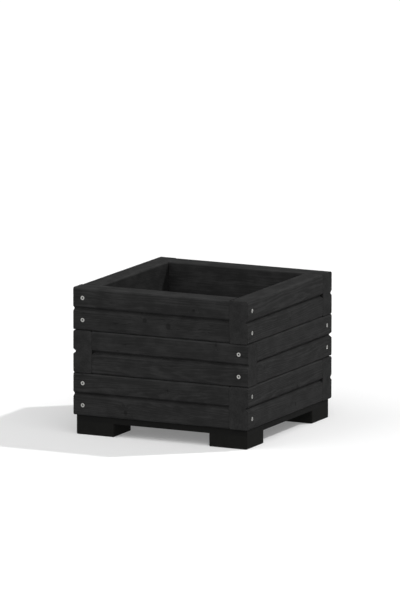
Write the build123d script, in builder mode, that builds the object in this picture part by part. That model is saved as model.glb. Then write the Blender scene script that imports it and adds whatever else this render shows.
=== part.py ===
"""Square timber planter box: three tiers of grooved beams on a base plate and four feet.

The beams of a tier go round like a pinwheel: each one covers a corner with its end and butts
against the next. Every second tier turns the other way, so the corner joints alternate.
Millimetres, +Z up, origin on the ground under the centre of the planter, front towards -Y.
"""
import os
from collections import namedtuple

from build123d import *

# ---- Overall plan and timber ------------------------------------------------------------
planter_width = 650.0  # over the beams, along X
planter_depth = 650.0  # over the beams, along Y
beam_thickness = 70.0
beam_height = 145.0
beam_edge_radius = 8.0
groove_width = 17.5  # at the outer face
groove_depth = 11.0
groove_radius = 2.5  # at its two shoulders and its root
beam_end_chamfer = 1.5  # round both ends

# ---- Base plate and feet ----------------------------------------------------------------
plate_thickness = 21.0
plate_inset = 8.0  # the plate and the feet are set back this far from the beams
plate_corner_radius = 4.0
drain_hole_diameter = 20.0
drain_hole_spacing = 300.0
foot_width = 140.0  # along X
foot_depth = 130.0  # along Y
foot_height = 45.0
foot_corner_radius = 4.0
foot_edge_chamfer = 2.5

# ---- Screws -----------------------------------------------------------------------------
Screw = namedtuple("Screw", "shank_diameter length head_diameter head_height socket_width")
corner_screw = Screw(8.0, 140.0, 14.0, 4.0, 6.6)  # countersunk: its length takes in the head
stack_screw = Screw(8.0, 180.0, 14.0, 4.4, 5.0)  # button heads, which the lengths leave out
base_screw = Screw(5.0, 60.0, 10.0, 3.0, 3.0)

corner_screw_margin = 35.0  # from the top and the bottom of the beam
corner_sink = 1.0  # from a beam's outer face to the flat top of a corner screw
corner_reach = corner_sink + corner_screw.length  # from that face to the screw's point
corner_screw_spare = 24.0  # from the tips of the corner screws to the first hidden screw
hidden_screw_spacing = 50.0  # between the two rows of upright screws in one beam
stack_sink = 25.0  # from a beam's underside to the seat of a stack screw's head
base_sink = 5.0  # the same in the plate
foot_sink = 11.0  # the same in a foot
foot_screw_reach = 110.0  # from the outer faces of the beams
foot_screw_bite = 25.0  # into the beam, which stays below the corner screws
foot_screw_length = foot_height - foot_sink + plate_thickness + foot_screw_bite
foot_screw = Screw(6.0, foot_screw_length, 12.0, 3.5, 4.0)

countersunk_rim = 1.0  # the upright edge of a countersunk head, above its cone
socket_depth = 3.0  # in a countersunk head, with six lobes
lobe_gap = 0.15  # radius of the hollows between its six lobes, as a share of its width

hole_clearance = 0.5  # radial, where a screw passes through a piece
thread_clearance = 0.05  # radial, where a screw bites
sink_clearance = 0.1  # radial, round a countersunk head
head_clearance = 2.0  # radial, between a head and its counterbore
tip_clearance = 2.0  # from a screw's point to the end of its hole

# ---- Levels and sides -------------------------------------------------------------------
plate_level = foot_height
beam_level = plate_level + plate_thickness
tiers = ("bottom", "middle", "top")
tier_level = {name: beam_level + beam_height * step for step, name in enumerate(tiers)}

Side = namedtuple("Side", "name along out half_length face_distance")
sides = (
    Side("front", Vector(1, 0, 0), Vector(0, -1, 0), planter_width / 2, planter_depth / 2),
    Side("right", Vector(0, 1, 0), Vector(1, 0, 0), planter_depth / 2, planter_width / 2),
    Side("back", Vector(-1, 0, 0), Vector(0, 1, 0), planter_width / 2, planter_depth / 2),
    Side("left", Vector(0, -1, 0), Vector(-1, 0, 0), planter_depth / 2, planter_width / 2),
)
up = Vector(0, 0, 1)


def turn(tier):
    """+1 where a beam covers the corner at its start, -1 where it covers the one at its end."""
    return 1 if tiers.index(tier) % 2 == 0 else -1


def outer_row(side):
    """Distance from the middle of a beam's side to its outer upright screws."""
    return side.half_length - corner_reach - corner_screw_spare


def inner_row(side):
    return outer_row(side) - hidden_screw_spacing


# ---- Planes on a beam -------------------------------------------------------------------
def face_plane(side, tier):
    """On the beam's outer face: X along the side from its middle, Y up from the beam's bottom."""
    origin = side.out * side.face_distance + up * tier_level[tier]
    return Plane(origin=origin, x_dir=side.along, z_dir=side.out)


def under_plane(side, level):
    """Facing down on the centre line of a beam: X along the side from its middle."""
    origin = side.out * (side.face_distance - beam_thickness / 2) + up * level
    return Plane(origin=origin, x_dir=side.along, z_dir=-up)


def profile_plane(side, tier):
    """Across the beam at its start: X inwards from the outer face, Y up, Z along the beam."""
    start = -side.half_length if turn(tier) > 0 else beam_thickness - side.half_length
    origin = side.out * side.face_distance + side.along * start + up * tier_level[tier]
    return Plane(origin=origin, x_dir=-side.out, z_dir=side.along)


def butt_plane(side, tier):
    """On the end that meets the next beam, facing out of it, with Y up."""
    end = (side.half_length - beam_thickness) * turn(tier)
    origin = (
        side.out * (side.face_distance - beam_thickness / 2) + side.along * end + up * tier_level[tier]
    )
    facing = side.along * turn(tier)
    return Plane(origin=origin, x_dir=up.cross(facing), z_dir=facing)


# ---- Where the screws stand -------------------------------------------------------------
corner_screw_heights = (corner_screw_margin, beam_height - corner_screw_margin)


def corner_spots(side, tier):
    """Two screws through the covering end of a beam, on its outer face."""
    x = (beam_thickness / 2 - side.half_length) * turn(tier)
    return [(x, height) for height in corner_screw_heights]


def pair(distance):
    return [(-distance, 0), (distance, 0)]


def stack_spots(side, tier):
    """Stack screws that leave a tier upwards; the two joints use different rows."""
    return pair(inner_row(side) if tier == "bottom" else outer_row(side))


def base_spots(side):
    return [(0, 0)] + pair(outer_row(side))


def foot_spots(side):
    return pair(side.half_length - foot_screw_reach)


# ---- Screws -----------------------------------------------------------------------------
def make_button_screw(size, label):
    """A button-head screw: its head stands on Z = 0 and its shank points down."""
    tip_length = size.shank_diameter
    with BuildPart() as screw:
        with BuildSketch(Plane.XY):
            Circle(size.head_diameter / 2)
        extrude(amount=size.head_height)
        fillet(screw.edges().group_by(Axis.Z)[-1], size.head_height * 0.8)
        with BuildSketch(Plane.XY.offset(size.head_height)):
            RegularPolygon(size.socket_width / 2, 6, major_radius=False)
        extrude(amount=-size.head_height * 0.6, mode=Mode.SUBTRACT)
        with BuildSketch(Plane.XY):
            Circle(size.shank_diameter / 2)
        extrude(amount=-(size.length - tip_length))
        with BuildSketch(Plane.XY.offset(tip_length - size.length)):
            Circle(size.shank_diameter / 2)
        with BuildSketch(Plane.XY.offset(-size.length)):
            Circle(size.shank_diameter / 8)
        loft()
    screw.part.label = label
    return screw.part


def make_countersunk_screw(size, label):
    """A countersunk screw with a six-lobe socket: its flat top is at Z = 0 and it points down."""
    head_radius = size.head_diameter / 2
    shank_radius = size.shank_diameter / 2
    with BuildPart() as screw:
        with BuildSketch(Plane.XZ):
            with BuildLine():
                Polyline(
                    (0, 0),
                    (head_radius, 0),
                    (head_radius, -countersunk_rim),
                    (shank_radius, -size.head_height),
                    (shank_radius, size.shank_diameter - size.length),
                    (shank_radius / 4, -size.length),
                    (0, -size.length),
                    close=True,
                )
            make_face()
        revolve(axis=Axis.Z)
        with BuildSketch(Plane.XY):
            Circle(size.socket_width / 2)
            with PolarLocations(size.socket_width / 2, 6):
                Circle(size.socket_width * lobe_gap, mode=Mode.SUBTRACT)
        extrude(amount=-socket_depth, mode=Mode.SUBTRACT)
    screw.part.label = label
    return screw.part


def place_screws(single, planes_and_spots):
    """One node of identical screws, each standing on its plane."""
    with BuildPart() as group:
        for plane, spots in planes_and_spots:
            with Locations(plane):
                with Locations(*spots):
                    add(single)
    group.part.label = single.label
    return group.part


# ---- Beams ------------------------------------------------------------------------------
def make_seat():
    """What a countersink takes out of a beam for one corner screw's head, from Z = 0 down."""
    top_radius = corner_screw.head_diameter / 2 + sink_clearance
    foot_radius = corner_screw.shank_diameter / 2 + sink_clearance
    with BuildPart() as seat:
        with BuildSketch(Plane.XZ):
            with BuildLine():
                Polyline(
                    (0, 0),
                    (top_radius, 0),
                    (top_radius, -corner_sink - countersunk_rim),
                    (foot_radius, -corner_sink - corner_screw.head_height),
                    (0, -corner_sink - corner_screw.head_height),
                    close=True,
                )
            make_face()
        revolve(axis=Axis.Z)
    return seat.part


def make_beam(side, tier, seat):
    """One grooved beam with the holes for every screw that passes through it or bites in it."""
    length = side.half_length * 2 - beam_thickness
    middle = beam_height / 2
    level = tier_level[tier]
    with BuildPart() as beam:
        with BuildSketch(profile_plane(side, tier)) as profile:
            Rectangle(beam_thickness, beam_height, align=(Align.MIN, Align.MIN))
            fillet(profile.vertices(), beam_edge_radius)
            with BuildLine():
                Polyline(
                    (0, middle - groove_width / 2),
                    (groove_depth, middle),
                    (0, middle + groove_width / 2),
                    close=True,
                )
            make_face(mode=Mode.SUBTRACT)
            groove = profile.vertices().filter_by_position(
                Axis.Y, middle - groove_width * 0.6, middle + groove_width * 0.6
            )
            fillet(groove, groove_radius)
        extrude(amount=length)
        ends = beam.faces().sort_by(Axis((0, 0, 0), side.along))
        chamfer(ends[0].edges() + ends[-1].edges(), beam_end_chamfer)

        with BuildSketch(face_plane(side, tier)):
            with Locations(*corner_spots(side, tier)):
                Circle(corner_screw.shank_diameter / 2 + hole_clearance)
        extrude(amount=-beam_thickness, mode=Mode.SUBTRACT)
        with Locations(face_plane(side, tier)):
            with Locations(*corner_spots(side, tier)):
                add(seat, mode=Mode.SUBTRACT)
        with BuildSketch(butt_plane(side, tier)):
            with Locations(*[(0, height) for height in corner_screw_heights]):
                Circle(corner_screw.shank_diameter / 2 + thread_clearance)
        extrude(amount=beam_thickness - corner_reach - tip_clearance, mode=Mode.SUBTRACT)

        if tier != tiers[-1]:
            with Locations(under_plane(side, level)):
                with Locations(*stack_spots(side, tier)):
                    CounterBoreHole(
                        radius=stack_screw.shank_diameter / 2 + hole_clearance,
                        counter_bore_radius=stack_screw.head_diameter / 2 + head_clearance,
                        counter_bore_depth=stack_sink,
                        depth=beam_height,
                    )
        if tier != tiers[0]:
            tier_below = tiers[tiers.index(tier) - 1]
            bite = stack_screw.length - (beam_height - stack_sink) + tip_clearance
            with BuildSketch(under_plane(side, level)):
                with Locations(*stack_spots(side, tier_below)):
                    Circle(stack_screw.shank_diameter / 2 + thread_clearance)
            extrude(amount=-bite, mode=Mode.SUBTRACT)
        if tier == tiers[0]:
            with BuildSketch(under_plane(side, level)):
                with Locations(*base_spots(side)):
                    Circle(base_screw.shank_diameter / 2 + thread_clearance)
            bite = base_sink + base_screw.length - plate_thickness + tip_clearance
            extrude(amount=-bite, mode=Mode.SUBTRACT)
            with BuildSketch(under_plane(side, level)):
                with Locations(*foot_spots(side)):
                    Circle(foot_screw.shank_diameter / 2 + thread_clearance)
            extrude(amount=-foot_screw_bite - tip_clearance, mode=Mode.SUBTRACT)
    beam.part.label = f"{tier}_{side.name}_beam"
    return beam.part


# ---- Base plate and feet ----------------------------------------------------------------
def cut_foot_screw_holes():
    """Through whatever is being built: the clearance holes of all the foot screws."""
    for side in sides:
        with Locations(under_plane(side, 0)):
            with Locations(*foot_spots(side)):
                CounterBoreHole(
                    radius=foot_screw.shank_diameter / 2 + hole_clearance,
                    counter_bore_radius=foot_screw.head_diameter / 2 + head_clearance,
                    counter_bore_depth=foot_sink,
                    depth=beam_level,
                )


def make_plate():
    with BuildPart() as plate:
        with BuildSketch(Plane.XY.offset(plate_level)):
            RectangleRounded(
                planter_width - plate_inset * 2,
                planter_depth - plate_inset * 2,
                plate_corner_radius,
            )
        extrude(amount=plate_thickness)
        with BuildSketch(Plane.XY.offset(plate_level)):
            Circle(drain_hole_diameter / 2)
            with GridLocations(drain_hole_spacing, drain_hole_spacing, 2, 2):
                Circle(drain_hole_diameter / 2)
        extrude(amount=plate_thickness, mode=Mode.SUBTRACT)
        for side in sides:
            with Locations(under_plane(side, plate_level)):
                with Locations(*base_spots(side)):
                    CounterBoreHole(
                        radius=base_screw.shank_diameter / 2 + hole_clearance,
                        counter_bore_radius=base_screw.head_diameter / 2 + head_clearance,
                        counter_bore_depth=base_sink,
                        depth=plate_thickness,
                    )
        cut_foot_screw_holes()
    plate.part.label = "base_plate"
    return plate.part


def make_foot(name, x_side, y_side):
    x = x_side * (planter_width / 2 - plate_inset - foot_width / 2)
    y = y_side * (planter_depth / 2 - plate_inset - foot_depth / 2)
    with BuildPart() as foot:
        with BuildSketch():
            with Locations((x, y)):
                RectangleRounded(foot_width, foot_depth, foot_corner_radius)
        extrude(amount=foot_height)
        chamfer(foot.faces().sort_by(Axis.Z)[0].edges(), foot_edge_chamfer)
        cut_foot_screw_holes()
    foot.part.label = name
    return foot.part


# ---- Build and write every piece --------------------------------------------------------
seat = make_seat()
pieces = [make_beam(side, tier, seat) for tier in tiers for side in sides]
pieces.append(make_plate())
for x_name, x_side in (("left", -1), ("right", 1)):
    for y_name, y_side in (("front", -1), ("back", 1)):
        pieces.append(make_foot(f"{y_name}_{x_name}_foot", x_side, y_side))

for tier in tiers:
    corner_places = [
        (face_plane(side, tier).offset(-corner_sink), corner_spots(side, tier)) for side in sides
    ]
    screw = make_countersunk_screw(corner_screw, f"{tier}_corner_screws")
    pieces.append(place_screws(screw, corner_places))
for tier, name in ((tiers[0], "lower_stack_screws"), (tiers[1], "upper_stack_screws")):
    seat = tier_level[tier] + stack_sink
    stack_places = [(under_plane(side, seat), stack_spots(side, tier)) for side in sides]
    pieces.append(place_screws(make_button_screw(stack_screw, name), stack_places))
base_places = [(under_plane(side, plate_level + base_sink), base_spots(side)) for side in sides]
pieces.append(place_screws(make_button_screw(base_screw, "base_screws"), base_places))
foot_places = [(under_plane(side, foot_sink), foot_spots(side)) for side in sides]
pieces.append(place_screws(make_button_screw(foot_screw, "foot_screws"), foot_places))

os.makedirs("parts", exist_ok=True)
for piece in pieces:
    export_step(piece, f"parts/{piece.label}.step")
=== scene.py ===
import math
import random
from collections import namedtuple

import bmesh
import bpy
from mathutils import Matrix, Vector, noise


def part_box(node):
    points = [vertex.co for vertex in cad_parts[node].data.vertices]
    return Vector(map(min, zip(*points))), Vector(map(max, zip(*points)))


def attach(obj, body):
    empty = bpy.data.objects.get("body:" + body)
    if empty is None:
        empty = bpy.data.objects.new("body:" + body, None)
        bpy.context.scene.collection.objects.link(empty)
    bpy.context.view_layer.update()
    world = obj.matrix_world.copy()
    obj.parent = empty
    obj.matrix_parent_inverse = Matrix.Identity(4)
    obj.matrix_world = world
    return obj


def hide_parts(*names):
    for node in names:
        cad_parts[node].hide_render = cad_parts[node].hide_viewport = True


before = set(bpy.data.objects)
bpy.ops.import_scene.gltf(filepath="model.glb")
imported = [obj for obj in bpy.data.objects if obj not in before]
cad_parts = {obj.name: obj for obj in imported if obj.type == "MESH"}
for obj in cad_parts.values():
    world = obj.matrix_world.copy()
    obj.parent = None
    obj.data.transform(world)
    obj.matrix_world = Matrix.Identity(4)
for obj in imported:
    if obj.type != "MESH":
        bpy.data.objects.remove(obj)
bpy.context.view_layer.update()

# ---- Sizes, in metres -------------------------------------------------------------------
MM = 0.001
TOUCHING = 0.01 * MM  # points nearer than this are one point
UP = Vector((0, 0, 1))
TIERS = ("bottom", "middle", "top")
SIDES = {
    "front": Vector((0, -1, 0)),
    "right": Vector((1, 0, 0)),
    "back": Vector((0, 1, 0)),
    "left": Vector((-1, 0, 0)),
}

EDGE_ROUND = 8 * MM
GROOVE_WIDTH = 17.5 * MM
GROOVE_DEPTH = 11 * MM
GROOVE_ROUND = 2.5 * MM
END_EASE = 1.5 * MM
SLICE = 20 * MM  # a beam is sliced this often, so that its faces can wander a little
WANDER = 0.25 * MM  # how far planed timber is from dead flat
WANDER_ACROSS = 50 * MM  # the size of one hollow across a beam, and along it
WANDER_ALONG = 160 * MM
WANDER_SHIFT = 7.3  # from one beam's hollows to the next one's, so that no two are alike

SCREW_MARGIN = 35 * MM  # from the top and the bottom of a beam
SCREW_SINK = 1.0 * MM  # from a beam's outer face to a screw's flat top
SINK_RADIUS = 7.3 * MM  # the countersink at the beam's face
SINK_PATCH = 10 * MM  # half the side of the square that is remade round a countersink
SCREW_STEPS = 48  # round a screw; a multiple of twelve, for the lobes of its socket
HEAD_RADIUS = 7 * MM
HEAD_EASE = 0.3 * MM  # the turned edge round the flat top
HEAD_EASE_STEPS = 4
HEAD_RIM = 1.0 * MM  # the upright edge above the cone
HEAD_HEIGHT = 4.0 * MM
SOCKET_RADIUS = 2.8 * MM  # halfway between its lobes' tips and their hollows
SOCKET_LOBE = 0.5 * MM  # how far the tips and the hollows are from that
SOCKET_LEAD = 0.35 * MM  # the slope round the socket's mouth
SOCKET_DEPTH = 3.0 * MM
SOCKET_SHADE = 0.8  # how dark the socket's foot is painted: painted shade in the recess
SHANK_RADIUS = 4 * MM
THREAD_ROOT = 3.1 * MM
THREAD_PITCH = 3.6 * MM
THREAD_TURNS = 22
POINT_LENGTH = 8 * MM
POINT_RADIUS = 0.8 * MM
SCREW_LENGTH = 140 * MM


# ---- Material helpers -------------------------------------------------------------------
def linear(code):
    """A linear colour from an sRGB hex code."""
    parts = [int(code[i : i + 2], 16) / 255 for i in (1, 3, 5)]
    return [p / 12.92 if p <= 0.04045 else ((p + 0.055) / 1.055) ** 2.4 for p in parts] + [1]


def add(tree, kind, inputs=None, **settings):
    """Adds a node. An input is a value, a socket, or a node, which gives its first output."""
    made = tree.nodes.new("ShaderNode" + kind)
    for name, value in settings.items():
        setattr(made, name, value)
    for key, value in (inputs or {}).items():
        if isinstance(value, bpy.types.Node):
            value = value.outputs[0]
        if isinstance(value, bpy.types.NodeSocket):
            tree.links.new(value, made.inputs[key])
        else:
            made.inputs[key].default_value = value
    return made


def blank_material(name):
    material = bpy.data.materials.new(name)
    material.use_nodes = True
    material.node_tree.nodes.clear()
    return material, material.node_tree


def grain(across, length):
    """The Mapping scale that makes a noise's grains this many millimetres wide and long."""
    return (1 / (across * MM), 1 / (across * MM), 1 / (length * MM))


# ---- Timber -----------------------------------------------------------------------------
# The knots that show on an outer face: how far along it from its middle, how far up from the
# middle of the beam, and the radius, all in millimetres. The other beams get theirs by chance.
KNOTS = {
    "top_front_beam": ((-22, -24, 8), (65, -43, 9), (159, 27, 5)),
}
STAIN_DEEP = "#1c1c1c"
STAIN_USUAL = "#282828"
STAIN_THIN = "#343434"

PITH_DEPTHS = (40, 95)  # below a beam's outer face, in millimetres; drawn beam by beam
PITH_RISES = (-45, 45)  # above the middle of the beam, in millimetres
PITH_WANDER = 26 * MM
LOG_TILTS = (-1.6, 1.6)  # of the pith to the beam, in degrees
RING_WIDTHS = (2.6, 4.2)  # in millimetres
RING_RIPPLE = 6 * MM  # how far the rings are from round
CHANCE_KNOTS = (1, 1, 1, 2)  # how many a beam may have
CHANCE_ALONG = (-240, 240)  # where they may be and their radii, in millimetres as in KNOTS
CHANCE_UP = (-62, 62)
CHANCE_RADII = (3.5, 7.5)
KNOT_SWELL = 7 * MM  # how far the rings swerve round a knot
NO_KNOT = 99.0  # distances to a knot are in its own radii, and this is past its reach
SAW_LINES = (700, 12, 12)  # per metre: a line every 1.4 mm, broken every 80 mm or so


def stained_pine(node_name, centre, along, out, thickness, seed):
    """Pine, planed all round and brushed with a black water-based stain.

    The pith runs beside the beam, so the faces get long wandering grain and the ends get arcs.
    The dense late wood takes less stain, so it is paler and shinier, and it stands proud. The
    stain lies unevenly and gathers in knots and drying checks. The rounded edges are painted
    paler: partly stain worn thin, partly a painted highlight where they catch the light.
    """
    material, tree = blank_material(f"pine, planed and stained black, {node_name}")
    dice = random.Random(seed)
    pith_depth = dice.uniform(*PITH_DEPTHS) * MM
    pith_rise = dice.uniform(*PITH_RISES) * MM
    pith = centre + out * (thickness / 2 - pith_depth) + UP * pith_rise
    tilt = math.radians(dice.uniform(*LOG_TILTS))
    turn = (tilt, math.pi / 2, 0) if along.x else (tilt - math.pi / 2, 0, 0)
    ring_width = dice.uniform(*RING_WIDTHS) * MM
    shift = Vector([dice.uniform(0, 9) for _ in range(3)])

    coords = add(tree, "TexCoord")
    log = add(
        tree, "Mapping", {"Vector": coords.outputs["Object"], "Location": pith, "Rotation": turn},
        vector_type="TEXTURE",
    )
    # The trunk isn't quite straight: its pith wanders by some millimetres along the beam.
    bend = add(tree, "Mapping", {"Vector": log, "Location": shift, "Scale": grain(150, 600)})
    bend = add(tree, "TexNoise", {"Vector": bend, "Scale": 1.0, "Detail": 2.0}).outputs["Color"]
    bend = add(tree, "VectorMath", {0: bend, 1: (0.5, 0.5, 0.5)}, operation="SUBTRACT")
    trunk = add(
        tree, "VectorMath", {0: bend, 1: (PITH_WANDER, PITH_WANDER, 0), 2: log},
        operation="MULTIPLY_ADD",
    )
    flat = add(tree, "VectorMath", {0: trunk, 1: (1, 1, 0)}, operation="MULTIPLY")
    radius = add(tree, "VectorMath", {0: flat}, operation="LENGTH").outputs["Value"]

    # Uneven patterns: the width and the length of their grains in millimetres, and their detail.
    # Pine's own fibres are finer still, and these are drawn just coarse enough to show.
    uneven = {}
    for name, across, length, detail in (
        ("ripple", 12, 140, 3),
        ("streaks", 5, 170, 4),
        ("fibres", 1.5, 45, 3),
        ("blotches", 34, 60, 4),
        ("splits", 13, 260, 2),
        ("spells", 45, 150, 1),
    ):
        shift = shift + Vector((3.1, 1.7, 5.3))
        place = {"Vector": trunk, "Location": shift, "Scale": grain(across, length)}
        place = add(tree, "Mapping", place)
        uneven[name] = add(
            tree, "TexNoise",
            {"Vector": place, "Scale": 1.0, "Detail": detail, "Roughness": 0.58},
        )

    # A knot is a branch that grew straight out from the pith and lies along one radius.
    knots = KNOTS.get(node_name) or [
        (dice.uniform(*CHANCE_ALONG), dice.uniform(*CHANCE_UP), dice.uniform(*CHANCE_RADII))
        for _ in range(dice.choice(CHANCE_KNOTS))
    ]
    log_axes = Matrix.Rotation(turn[1], 3, "Y") @ Matrix.Rotation(turn[0], 3, "X")
    nearest = NO_KNOT
    for knot_along, knot_up, knot_radius in knots:
        branch = along * knot_along * MM + UP * (knot_up * MM - pith_rise) + out * pith_depth
        branch = log_axes.transposed() @ branch
        reach = math.hypot(branch.x, branch.y)
        way = (branch.x / reach, branch.y / reach, 0)
        core = add(tree, "VectorMath", {0: way, "Scale": radius}, operation="SCALE")
        core = add(tree, "VectorMath", {0: core, 1: (0, 0, branch.z)}, operation="ADD")
        away = add(tree, "VectorMath", {0: trunk, 1: core}, operation="DISTANCE")
        away = add(
            tree, "Math", {0: away.outputs["Value"], 1: knot_radius * MM}, operation="DIVIDE"
        )
        nearest = add(tree, "Math", {0: away, 1: nearest}, operation="MINIMUM")
    knot = add(
        tree, "MapRange",
        {"Value": nearest, "From Min": 0.6, "From Max": 1.25, "To Min": 1.0, "To Max": 0.0},
        interpolation_type="SMOOTHSTEP",
    )
    swell = add(
        tree, "MapRange",
        {"Value": nearest, "From Min": 0.5, "From Max": 5.0, "To Min": KNOT_SWELL, "To Max": 0.0},
        interpolation_type="SMOOTHERSTEP",
    )

    # Growth rings: the late wood is a narrow band that starts softly and ends sharply.
    ring = add(
        tree, "Math", {0: uneven["ripple"], 1: RING_RIPPLE, 2: radius}, operation="MULTIPLY_ADD"
    )
    ring = add(tree, "Math", {0: ring, 1: swell}, operation="SUBTRACT")
    ring = add(tree, "Math", {0: ring, 1: ring_width}, operation="DIVIDE")
    ring = add(tree, "Math", {0: ring}, operation="FRACT")
    late = add(tree, "ValToRGB", {"Fac": ring})
    late.color_ramp.interpolation = "EASE"
    late.color_ramp.elements[0].color = (0, 0, 0, 1)
    late.color_ramp.elements[1].color = (0, 0, 0, 1)
    late.color_ramp.elements.new(0.35).color = (0.15, 0.15, 0.15, 1)
    late.color_ramp.elements.new(0.84).color = (1, 1, 1, 1)

    # Drying checks: hair-thin splits along the grain, in short spells only.
    check = add(tree, "Math", {0: uneven["splits"], 1: 0.5}, operation="SUBTRACT")
    check = add(tree, "Math", {0: check}, operation="ABSOLUTE")
    check = add(
        tree, "MapRange",
        {"Value": check, "From Min": 0.004, "From Max": 0.011, "To Min": 1.0, "To Max": 0.0},
    )
    spell = add(tree, "MapRange", {"Value": uneven["spells"], "From Min": 0.60, "From Max": 0.66})
    check = add(tree, "Math", {0: check, 1: spell}, operation="MULTIPLY")

    # End grain: open pores drink more stain, and the saw leaves fine lines across it.
    end = add(
        tree, "VectorMath", {0: coords.outputs["Normal"], 1: along}, operation="DOT_PRODUCT"
    )
    end = add(tree, "Math", {0: end.outputs["Value"]}, operation="ABSOLUTE")
    end = add(tree, "MapRange", {"Value": end, "From Min": 0.7, "From Max": 0.95})
    saw = add(tree, "Mapping", {"Vector": log, "Rotation": (0, 0, 0.3), "Scale": SAW_LINES})
    saw = add(tree, "TexNoise", {"Vector": saw, "Scale": 1.0, "Detail": 2.0})
    saw = add(tree, "Math", {0: saw, 1: end}, operation="MULTIPLY")

    # Paler rounded edges: partly stain worn thin, partly a painted highlight where the rounding
    # catches the light.
    edge = add(tree, "Attribute", attribute_name="edge").outputs["Fac"]
    edge_wear_and_highlight = add(tree, "Math", {0: edge, 1: uneven["streaks"]}, operation="MULTIPLY")

    tone = 0.24
    for pattern, share in (
        (late, 0.11),
        (uneven["streaks"], 0.36),
        (uneven["fibres"], 0.22),
        (uneven["blotches"], 0.58),
        (knot, -0.34),
        (check, -0.40),
        (end, 0.03),
        (edge_wear_and_highlight, 0.16),
    ):
        tone = add(tree, "Math", {0: pattern, 1: share, 2: tone}, operation="MULTIPLY_ADD")
    stain = add(tree, "ValToRGB", {"Fac": tone})
    stain.color_ramp.elements[0].color = linear(STAIN_DEEP)
    stain.color_ramp.elements[0].position = 0.3
    stain.color_ramp.elements[1].color = linear(STAIN_THIN)
    stain.color_ramp.elements.new(0.8).color = linear(STAIN_USUAL)

    matt = 0.62
    for pattern, share in ((late, -0.10), (uneven["blotches"], 0.22), (end, 0.14)):
        matt = add(tree, "Math", {0: pattern, 1: share, 2: matt}, operation="MULTIPLY_ADD")

    relief = 0.0
    for pattern, share in (
        (late, 0.28),
        (uneven["fibres"], 0.40),
        (uneven["streaks"], 0.50),
        (knot, 0.30),
        (check, -1.20),
        (saw, 0.60),
    ):
        relief = add(tree, "Math", {0: pattern, 1: share, 2: relief}, operation="MULTIPLY_ADD")
    bump = add(tree, "Bump", {"Strength": 0.6, "Distance": 0.8 * MM, "Height": relief})

    shader = add(
        tree, "BsdfPrincipled",
        {
            "Base Color": stain,
            "Roughness": matt,
            "Normal": bump,
            "IOR": 1.45,
            "Specular IOR Level": 0.05,
        },
    )
    add(tree, "OutputMaterial", {"Surface": shader})
    return material


# ---- Other finishes ---------------------------------------------------------------------
TOOL_RING = 0.25 * MM  # from one ring of the turning tool to the next
PLY = 1.5 * MM


def turned_stainless():
    """Stainless steel heads, turned and tumbled: bright, with fine rings and painted shade in the
    socket.
    """
    material, tree = blank_material("stainless steel, turned and tumbled")
    coords = add(tree, "TexCoord").outputs["Object"]
    rings = add(tree, "Attribute", attribute_name="radius").outputs["Fac"]
    rings = add(tree, "Math", {0: rings, 1: math.tau / TOOL_RING}, operation="MULTIPLY")
    rings = add(tree, "Math", {0: rings}, operation="SINE")
    # Painted shade: the socket's foot, and every point deeper than twice the socket's lead below
    # the flat top, take the dark end of the ramp.
    recess_shade = add(tree, "Attribute", attribute_name="recess_shade").outputs["Fac"]
    smudge = add(tree, "TexNoise", {"Vector": coords, "Scale": 1 / (3 * MM), "Detail": 3.0})
    # Smudges, a random tone, are added to the painted shade.
    recess_shade = add(tree, "Math", {0: smudge, 1: 0.25, 2: recess_shade}, operation="MULTIPLY_ADD")
    steel = add(tree, "ValToRGB", {"Fac": recess_shade})
    steel.color_ramp.elements[0].color = linear("#b2b2af")
    steel.color_ramp.elements[1].color = linear("#2c2a28")
    rough = add(tree, "Math", {0: smudge, 1: 0.30, 2: 0.16}, operation="MULTIPLY_ADD")
    bump = add(tree, "Bump", {"Strength": 0.2, "Distance": 0.02 * MM, "Height": rings})
    shader = add(
        tree, "BsdfPrincipled",
        {"Base Color": steel, "Metallic": 1.0, "Roughness": rough, "Normal": bump},
    )
    add(tree, "OutputMaterial", {"Surface": shader})
    return material


def zinc_plate():
    """Electroplated zinc, passivated: grey with a dull bloom, duller than stainless."""
    material, tree = blank_material("zinc-plated steel, passivated")
    coords = add(tree, "TexCoord").outputs["Object"]
    bloom = add(tree, "TexNoise", {"Vector": coords, "Scale": 1 / (5 * MM), "Detail": 4.0})
    zinc = add(tree, "ValToRGB", {"Fac": bloom})
    zinc.color_ramp.elements[0].color = linear("#8d9194")
    zinc.color_ramp.elements[1].color = linear("#c4c8c6")
    rough = add(tree, "Math", {0: bloom, 1: 0.30, 2: 0.25}, operation="MULTIPLY_ADD")
    shader = add(
        tree, "BsdfPrincipled", {"Base Color": zinc, "Metallic": 1.0, "Roughness": rough}
    )
    add(tree, "OutputMaterial", {"Surface": shader})
    return material


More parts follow.
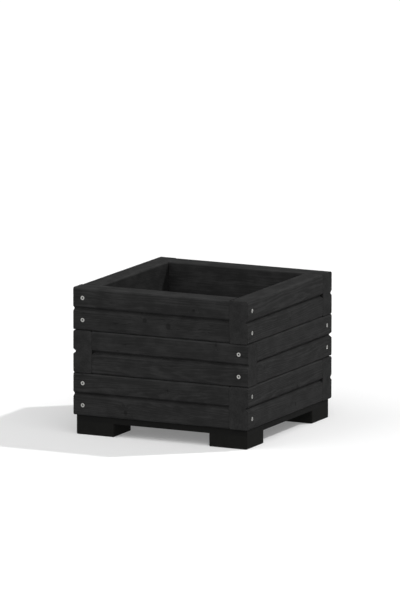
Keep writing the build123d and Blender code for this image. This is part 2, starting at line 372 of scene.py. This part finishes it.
def film_faced_plywood():
    """Birch plywood with a black phenolic film; its sawn edges are sealed with black paint.

    The film is smooth and a little scuffed. Under the paint the cross plies of the edges show
    as fine bands: every second one is end grain, duller and sunk a little.
    """
    material, tree = blank_material("birch plywood, black film and sealed edges")
    coords = add(tree, "TexCoord")
    place = coords.outputs["Object"]
    parts = add(tree, "SeparateXYZ", {0: place})
    plate_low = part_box("base_plate")[0].z
    ply = add(tree, "Math", {0: parts.outputs["Z"], 1: plate_low}, operation="SUBTRACT")
    ply = add(tree, "Math", {0: ply, 1: math.tau / (2 * PLY)}, operation="MULTIPLY")
    ply = add(tree, "Math", {0: ply}, operation="SINE")
    ply = add(tree, "MapRange", {"Value": ply, "From Min": -0.3, "From Max": 0.3})
    upright = add(tree, "SeparateXYZ", {0: coords.outputs["Normal"]}).outputs["Z"]
    upright = add(tree, "Math", {0: upright}, operation="ABSOLUTE")
    on_edge = add(
        tree, "MapRange",
        {"Value": upright, "From Min": 0.3, "From Max": 0.7, "To Min": 1.0, "To Max": 0.0},
    )
    band = add(tree, "Math", {0: ply, 1: on_edge}, operation="MULTIPLY")
    scuff = add(tree, "Mapping", {"Vector": place, "Rotation": (0, 0, 0.6), "Scale": (9, 90, 60)})
    scuff = add(tree, "TexNoise", {"Vector": scuff, "Scale": 1.0, "Detail": 5.0, "Roughness": 0.6})
    speck = add(tree, "TexNoise", {"Vector": place, "Scale": 1 / (2.5 * MM), "Detail": 3.0})
    tone = add(tree, "Math", {0: scuff, 1: 0.6, 2: 0.2}, operation="MULTIPLY_ADD")
    tone = add(tree, "Math", {0: band, 1: -0.2, 2: tone}, operation="MULTIPLY_ADD")
    film = add(tree, "ValToRGB", {"Fac": tone})
    film.color_ramp.elements[0].color = linear("#161616")
    film.color_ramp.elements[1].color = linear("#222221")
    rough = add(tree, "Math", {0: scuff, 1: 0.30, 2: 0.36}, operation="MULTIPLY_ADD")
    rough = add(tree, "Math", {0: band, 1: 0.18, 2: rough}, operation="MULTIPLY_ADD")
    height = add(tree, "Math", {0: band, 1: -0.6, 2: 0.0}, operation="MULTIPLY_ADD")
    height = add(tree, "Math", {0: speck, 1: 0.25, 2: height}, operation="MULTIPLY_ADD")
    bump = add(tree, "Bump", {"Strength": 0.4, "Distance": 0.3 * MM, "Height": height})
    shader = add(
        tree, "BsdfPrincipled",
        {
            "Base Color": film,
            "Roughness": rough,
            "Normal": bump,
            "IOR": 1.5,
            "Specular IOR Level": 0.02,
        },
    )
    add(tree, "OutputMaterial", {"Surface": shader})
    return material


def dipped_block(node_name):
    """A sawn softwood block, dipped in black preservative: dull, with the saw's fine ribs."""
    material, tree = blank_material(f"softwood block, dipped black, {node_name}")
    low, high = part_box(node_name)
    coords = add(tree, "TexCoord").outputs["Object"]
    local = add(
        tree, "Mapping", {"Vector": coords, "Location": (low + high) / 2}, vector_type="TEXTURE"
    )
    ribs = add(tree, "Mapping", {"Vector": local, "Rotation": (0, 0.08, 0), "Scale": (420, 30, 25)})
    ribs = add(tree, "TexNoise", {"Vector": ribs, "Scale": 1.0, "Detail": 3.0})
    cloud = add(tree, "TexNoise", {"Vector": local, "Scale": 1 / (30 * MM), "Detail": 4.0})
    speck = add(tree, "TexNoise", {"Vector": local, "Scale": 1 / (2 * MM), "Detail": 3.0})
    tone = add(tree, "Math", {0: ribs, 1: 0.35, 2: -0.05}, operation="MULTIPLY_ADD")
    tone = add(tree, "Math", {0: cloud, 1: 0.75, 2: tone}, operation="MULTIPLY_ADD")
    dip = add(tree, "ValToRGB", {"Fac": tone})
    dip.color_ramp.elements[0].color = linear("#171716")
    dip.color_ramp.elements[1].color = linear("#232322")
    rough = add(tree, "Math", {0: cloud, 1: 0.25, 2: 0.50}, operation="MULTIPLY_ADD")
    height = add(tree, "Math", {0: speck, 1: 0.35}, operation="MULTIPLY")
    height = add(tree, "Math", {0: ribs, 1: 0.5, 2: height}, operation="MULTIPLY_ADD")
    bump = add(tree, "Bump", {"Strength": 0.5, "Distance": 0.5 * MM, "Height": height})
    shader = add(
        tree, "BsdfPrincipled",
        {
            "Base Color": dip,
            "Roughness": rough,
            "Normal": bump,
            "IOR": 1.45,
            "Specular IOR Level": 0.02,
        },
    )
    add(tree, "OutputMaterial", {"Surface": shader})
    return material


# ---- Pieces -----------------------------------------------------------------------------
BEAM_SHARP = 40  # edges that turn further than this many degrees stay crisp
SCREW_SHARP = 30

Beam = namedtuple("Beam", "low high centre along length thickness cover_offset")


def measure_beam(node_name, out):
    """A beam's box and its sizes along and across its side of the planter.

    The cover offset is how far along the side the corner that the beam covers lies from the
    beam's middle. A beam lies off centre, towards that corner.
    """
    low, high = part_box(node_name)
    size = high - low
    centre = (low + high) / 2
    along = Vector((abs(out.y), abs(out.x), 0))
    length = size.dot(along)
    thickness = abs(size.dot(out))
    cover_offset = math.copysign((length - thickness) / 2, centre.dot(along))
    return Beam(low, high, centre, along, length, thickness, cover_offset)


def close_seams(bm):
    """Joins points that touch, and then turns all the faces outwards."""
    bmesh.ops.remove_doubles(bm, verts=bm.verts[:], dist=TOUCHING)
    bmesh.ops.recalc_face_normals(bm, faces=bm.faces[:])


def cut_across(bm, place, way):
    """Adds edges wherever a plane meets the mesh."""
    bmesh.ops.bisect_plane(
        bm, geom=bm.verts[:] + bm.edges[:] + bm.faces[:], dist=TOUCHING,
        plane_co=place, plane_no=way,
    )


def finish_piece(bm, name, material, replaced, sharp_degrees=BEAM_SHARP):
    """Turns a finished bmesh into a piece that rides on the planter in place of a CAD node."""
    close_seams(bm)
    mesh = bpy.data.meshes.new(name)
    bm.to_mesh(mesh)
    bm.free()
    mesh.shade_smooth()
    mesh.set_sharp_from_angle(angle=math.radians(sharp_degrees))
    piece = bpy.data.objects.new(name, mesh)
    bpy.context.scene.collection.objects.link(piece)
    piece.data.materials.append(material)
    even = piece.modifiers.new("even_normals", "WEIGHTED_NORMAL")
    even.keep_sharp = True
    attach(piece, "root")
    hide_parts(replaced)


def round_corners(bm, corners, radius, bend_degrees, segments):
    """Rounds corners of a flat outline to a radius; bend is how far the outline turns there."""
    setback = radius * math.tan(math.radians(bend_degrees) / 2)
    bmesh.ops.bevel(
        bm, geom=corners, offset=setback, segments=segments, profile=0.5,
        affect="VERTICES", material=-1, clamp_overlap=True,
    )


def drawn_in(bm, rim):
    """Extrudes a ring of edges on the spot, and gives the new points and the new ring."""
    made = bmesh.ops.extrude_edge_only(bm, edges=rim)["geom"]
    verts = [v for v in made if isinstance(v, bmesh.types.BMVert)]
    edges = [e for e in made if isinstance(e, bmesh.types.BMEdge) and e.is_boundary]
    return verts, edges


def beam_section(bm, thickness, height):
    """The face across a beam: X inwards from the outer face, Y up, with the V-groove."""
    middle = height / 2
    outline = (
        (0, 0),
        (thickness, 0),
        (thickness, height),
        (0, height),
        (0, middle + GROOVE_WIDTH / 2),
        (GROOVE_DEPTH, middle),
        (0, middle - GROOVE_WIDTH / 2),
    )
    corners = [bm.verts.new((x, y, 0)) for x, y in outline]
    bm.faces.new(corners)
    slope = math.degrees(math.atan(GROOVE_DEPTH / (GROOVE_WIDTH / 2)))
    round_corners(bm, [corners[5]], GROOVE_ROUND, slope * 2, segments=4)
    round_corners(bm, [corners[4], corners[6]], GROOVE_ROUND, slope, segments=3)
    round_corners(bm, corners[:4], EDGE_ROUND, 90, segments=7)


def mark_edges(bm, thickness, height):
    """Gives each point how far it is round a long edge: 1 in the middle of the rounding."""
    layer = bm.verts.layers.float.new("edge")
    for v in bm.verts:
        dx = max(EDGE_ROUND - v.co.x, EDGE_ROUND - (thickness - v.co.x), 0)
        dy = max(EDGE_ROUND - v.co.y, EDGE_ROUND - (height - v.co.y), 0)
        v[layer] = min(1.0, min(dx, dy) * 2 / EDGE_ROUND)


def sink_screw(bm, height, distance):
    """Cuts a countersink in the outer face, and closes it under the screw's head."""
    spot = Vector((0, height, distance))
    for way in (Vector((0, 1, 0)), Vector((0, 0, 1))):
        for side in (-1, 1):
            cut_across(bm, spot + way * side * SINK_PATCH, way)
    patch = [
        f for f in bm.faces
        if max(abs(part) for part in f.calc_center_median() - spot) < SINK_PATCH - TOUCHING
        and all(abs(v.co.x) < TOUCHING for v in f.verts)
    ]
    bmesh.ops.delete(bm, geom=patch, context="FACES")
    square = [e for e in bm.edges if e.is_boundary]
    facing = Matrix.Translation(spot) @ Matrix.Rotation(math.pi / 2, 4, "Y")
    ring = bmesh.ops.create_circle(
        bm, cap_ends=False, segments=SCREW_STEPS, radius=SINK_RADIUS, matrix=facing
    )["verts"]
    ring = list({e for v in ring for e in v.link_edges})
    bmesh.ops.triangle_fill(bm, use_beauty=True, use_dissolve=False, edges=square + ring)
    sunk, foot = drawn_in(bm, ring)
    bmesh.ops.translate(bm, verts=sunk, vec=(SCREW_SINK + HEAD_EASE * 2, 0, 0))
    bmesh.ops.edgeloop_fill(bm, edges=foot)


def make_beam(node_name, out, seed):
    beam = measure_beam(node_name, out)
    height = beam.high.z - beam.low.z

    bm = bmesh.new()
    beam_section(bm, beam.thickness, height)
    grown = bmesh.ops.extrude_face_region(bm, geom=bm.faces[:])["geom"]
    far_end = [g for g in grown if isinstance(g, bmesh.types.BMVert)]
    bmesh.ops.translate(bm, verts=far_end, vec=(0, 0, beam.length))
    # Only the two end faces have more than four edges.
    end_rims = [e for f in bm.faces if len(f.edges) > 4 for e in f.edges]
    bmesh.ops.bevel(
        bm, geom=end_rims, offset=END_EASE, segments=2, profile=0.5,
        affect="EDGES", material=-1, clamp_overlap=True,
    )
    slices = int(beam.length / SLICE)
    for i in range(1, slices):
        cut_across(bm, (0, 0, beam.length * i / slices), UP)
    for screw_height in (SCREW_MARGIN, height - SCREW_MARGIN):
        sink_screw(bm, screw_height, beam.length / 2 + beam.cover_offset)
    mark_edges(bm, beam.thickness, height)
    close_seams(bm)
    bm.normal_update()
    for v in bm.verts:
        hollow = Vector((v.co.x / WANDER_ACROSS, v.co.y / WANDER_ACROSS, v.co.z / WANDER_ALONG))
        hollow.z += seed * WANDER_SHIFT
        v.co -= v.normal * WANDER * (0.5 + 0.5 * noise.noise(hollow))
    face = out * (beam.centre.dot(out) + beam.thickness / 2)
    start = face + UP * beam.low.z + beam.along * beam.low.dot(beam.along)
    axes = Matrix((-out, UP, beam.along)).transposed().to_4x4()
    bm.transform(Matrix.Translation(start) @ axes)
    material = stained_pine(node_name, beam.centre, beam.along, out, beam.thickness, seed)
    finish_piece(bm, f"{node_name}_timber", material, node_name)


def screw_outline():
    """Half of a countersunk screw's outline, from its point up to the rim of its flat top."""
    outline = [(POINT_RADIUS, -SCREW_LENGTH)]
    thread_start = POINT_LENGTH - SCREW_LENGTH
    for step in range(THREAD_TURNS):
        outline.append((THREAD_ROOT, thread_start + THREAD_PITCH * step))
        outline.append((SHANK_RADIUS, thread_start + THREAD_PITCH * (step + 0.5)))
    outline.append((THREAD_ROOT, thread_start + THREAD_PITCH * THREAD_TURNS))
    outline.append((SHANK_RADIUS, thread_start + THREAD_PITCH * (THREAD_TURNS + 0.5)))
    outline.append((SHANK_RADIUS, -HEAD_HEIGHT))
    outline.append((HEAD_RADIUS, -HEAD_RIM))
    for step in range(HEAD_EASE_STEPS + 1):
        angle = math.radians(90) * step / HEAD_EASE_STEPS
        reach = HEAD_RADIUS - HEAD_EASE * (1 - math.cos(angle))
        outline.append((reach, HEAD_EASE * (math.sin(angle) - 1)))
    return outline


def widen_to_lobes(verts, gap):
    """Moves a ring of points onto the socket's six-lobed outline, or a gap outside it."""
    for v in verts:
        turned = math.atan2(v.co.y, v.co.x)
        reach = SOCKET_RADIUS + SOCKET_LOBE * math.cos(6 * turned) + gap
        v.co.xy = v.co.xy.normalized() * reach


def screw_shape():
    """A countersunk screw with a six-lobe socket: its flat top is at Z = 0, its shank below."""
    bm = bmesh.new()
    points = [bm.verts.new((r, 0, z)) for r, z in screw_outline()]
    for below, above in zip(points, points[1:]):
        bm.edges.new((below, above))
    bmesh.ops.spin(
        bm, geom=bm.verts[:] + bm.edges[:], cent=(0, 0, 0), axis=UP,
        angle=math.tau, steps=SCREW_STEPS, use_merge=True,
    )
    point_ring = [e for e in bm.edges if e.is_boundary and e.verts[0].co.z < -HEAD_HEIGHT]
    rim = [e for e in bm.edges if e.is_boundary and e.verts[0].co.z > -HEAD_HEIGHT]
    bmesh.ops.edgeloop_fill(bm, edges=point_ring)
    mouth, rim = drawn_in(bm, rim)
    widen_to_lobes(mouth, SOCKET_LEAD)
    lead, rim = drawn_in(bm, rim)
    widen_to_lobes(lead, 0)
    bmesh.ops.translate(bm, verts=lead, vec=(0, 0, -SOCKET_LEAD))
    socket_foot, rim = drawn_in(bm, rim)
    bmesh.ops.translate(bm, verts=socket_foot, vec=(0, 0, SOCKET_LEAD - SOCKET_DEPTH))
    bmesh.ops.edgeloop_fill(bm, edges=rim)
    radius = bm.verts.layers.float.new("radius")
    # Painted shade: the socket's foot and every point deeper than twice the socket's lead below the
    # flat top get a dark colour.
    recess_shade = bm.verts.layers.float.new("recess_shade")
    for v in bm.verts:
        v[radius] = v.co.xy.length
        v[recess_shade] = SOCKET_SHADE if v in socket_foot or v.co.z < -SOCKET_LEAD * 2 else 0.0
    shape = bpy.data.meshes.new("screw shape")
    bm.to_mesh(shape)
    bm.free()
    return shape


def make_corner_screws(tier, shape, material, dice):
    """All the screws at the corners of one tier: two through each beam's covering end."""
    bm = bmesh.new()
    for side, out in SIDES.items():
        beam = measure_beam(f"{tier}_{side}_beam", out)
        cover = beam.along * (beam.centre.dot(beam.along) + beam.cover_offset)
        face = out * (beam.centre.dot(out) + beam.thickness / 2 - SCREW_SINK)
        for height in (beam.low.z + SCREW_MARGIN, beam.high.z - SCREW_MARGIN):
            turned = Matrix.Rotation(dice.uniform(0, math.tau), 4, "Z")
            facing = out.to_track_quat("Z", "Y").to_matrix().to_4x4()
            place = Matrix.Translation(face + cover + UP * height) @ facing @ turned
            placed = shape.copy()
            placed.transform(place)
            bm.from_mesh(placed)
            bpy.data.meshes.remove(placed)
    name = f"{tier}_corner_screws"
    finish_piece(bm, f"{name}_turned", material, name, SCREW_SHARP)


def refinish(node_name, material):
    """Gives a CAD node that keeps its shape a better material."""
    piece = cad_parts[node_name]
    piece.data.materials.clear()
    piece.data.materials.append(material)


# ---- Making -----------------------------------------------------------------------------
FIRST_BEAM_SEED = 11
SCREW_SEED = 5

seed = FIRST_BEAM_SEED
for tier in TIERS:
    for side, out in SIDES.items():
        make_beam(f"{tier}_{side}_beam", out, seed)
        seed += 1

screw = screw_shape()
stainless = turned_stainless()
screw_dice = random.Random(SCREW_SEED)
for tier in TIERS:
    make_corner_screws(tier, screw, stainless, screw_dice)
bpy.data.meshes.remove(screw)

refinish("base_plate", film_faced_plywood())
for foot in ("front_left_foot", "front_right_foot", "back_left_foot", "back_right_foot"):
    refinish(foot, dipped_block(foot))
zinc = zinc_plate()
for hidden in ("lower_stack_screws", "upper_stack_screws", "base_screws", "foot_screws"):
    refinish(hidden, zinc)


# ---- Camera -----------------------------------------------------------------------------
CAMERA_AZIMUTH = math.radians(26.12)
CAMERA_ELEVATION = math.radians(10.32)
CAMERA_DISTANCE = 32.28
CAMERA_LENS = 576.3  # millimetres
CAMERA_SENSOR = 36  # millimetres wide
CAMERA_REACH = 200  # metres, past the far edge of the floor
AIM_RIGHT = -0.0102  # the camera looks this far beside and above the middle of the beams
AIM_UP = 0.1434

sight = Vector(
    (
        -math.sin(CAMERA_AZIMUTH) * math.cos(CAMERA_ELEVATION),
        math.cos(CAMERA_AZIMUTH) * math.cos(CAMERA_ELEVATION),
        -math.sin(CAMERA_ELEVATION),
    )
)
camera_right = Vector((math.cos(CAMERA_AZIMUTH), math.sin(CAMERA_AZIMUTH), 0))
camera_up = camera_right.cross(sight)
walls_middle = UP * (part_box("bottom_front_beam")[0].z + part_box("top_front_beam")[1].z) / 2
aim = walls_middle + camera_right * AIM_RIGHT + camera_up * AIM_UP

camera_data = bpy.data.cameras.new("camera")
camera_data.lens = CAMERA_LENS
camera_data.sensor_width = CAMERA_SENSOR
camera_data.clip_end = CAMERA_REACH
camera = bpy.data.objects.new("camera", camera_data)
camera.location = aim - sight * CAMERA_DISTANCE
camera.rotation_euler = sight.to_track_quat("-Z", "Y").to_euler()
bpy.context.scene.collection.objects.link(camera)
bpy.context.scene.camera = camera


# ---- Light ------------------------------------------------------------------------------
# Azimuth from +X towards +Y, elevation and spread in degrees, strength in watts per square metre.
LAMPS = {
    "key": (40, 46.5, 2, 1.73),
    "front softbox": (285, 50, 90, 1.75),
    "left softbox": (215, 35, 60, 0.75),
    "right softbox": (10, 55, 90, 0.29),
}
LIGHT_FROM_ABOVE = 0.15
LIGHT_FROM_BELOW = 0.42  # what a pale studio floor gives back
HORIZON_BLEND = 0.05  # half the height of the blend between the two

for name, (azimuth, elevation, spread, strength) in LAMPS.items():
    lamp_data = bpy.data.lights.new(name, "SUN")
    lamp_data.energy = strength
    lamp_data.angle = math.radians(spread)
    lamp = bpy.data.objects.new(name, lamp_data)
    lamp.rotation_euler = (0, math.radians(90 - elevation), math.radians(azimuth))
    bpy.context.scene.collection.objects.link(lamp)

world = bpy.data.worlds.new("studio")
world.use_nodes = True
sky = world.node_tree
sky.nodes.clear()
direction = add(sky, "TexCoord").outputs["Generated"]
height = add(sky, "SeparateXYZ", {0: direction}).outputs["Z"]
ambient = add(
    sky, "MapRange",
    {
        "Value": height,
        "From Min": -HORIZON_BLEND,
        "From Max": HORIZON_BLEND,
        "To Min": LIGHT_FROM_BELOW,
        "To Max": LIGHT_FROM_ABOVE,
    },
)
backdrop = add(sky, "LightPath").outputs["Is Camera Ray"]
ambient = add(sky, "Math", {0: ambient, 1: backdrop}, operation="MAXIMUM")
add(sky, "OutputWorld", {"Surface": add(sky, "Background", {"Strength": ambient})})
sky.nodes["Background"].inputs["Color"].default_value = (1, 1, 1, 1)
bpy.context.scene.world = world
bpy.context.scene.view_settings.view_transform = "Standard"


# ---- Floor ------------------------------------------------------------------------------
FLOOR_HALF_SIZE = 60
FLOOR_TINT = "#dedede"
FLOOR_GLOW = 0.21  # like a light table, so the deepest shadow under the planter stays grey

floor_bm = bmesh.new()
bmesh.ops.create_grid(floor_bm, x_segments=1, y_segments=1, size=FLOOR_HALF_SIZE)
floor_mesh = bpy.data.meshes.new("floor")
floor_bm.to_mesh(floor_mesh)
floor_bm.free()
floor = bpy.data.objects.new("floor", floor_mesh)
paper, paper_tree = blank_material("white paper over a light table")
paper_shader = add(
    paper_tree, "BsdfPrincipled",
    {
        "Base Color": linear(FLOOR_TINT),
        "Roughness": 0.9,
        "Specular IOR Level": 0.0,
        "Emission Color": (1, 1, 1, 1),
        "Emission Strength": FLOOR_GLOW,
    },
)
add(paper_tree, "OutputMaterial", {"Surface": paper_shader})
floor.data.materials.append(paper)
bpy.context.scene.collection.objects.link(floor)
floor.visible_diffuse = False  # the light from below stands for what it gives back
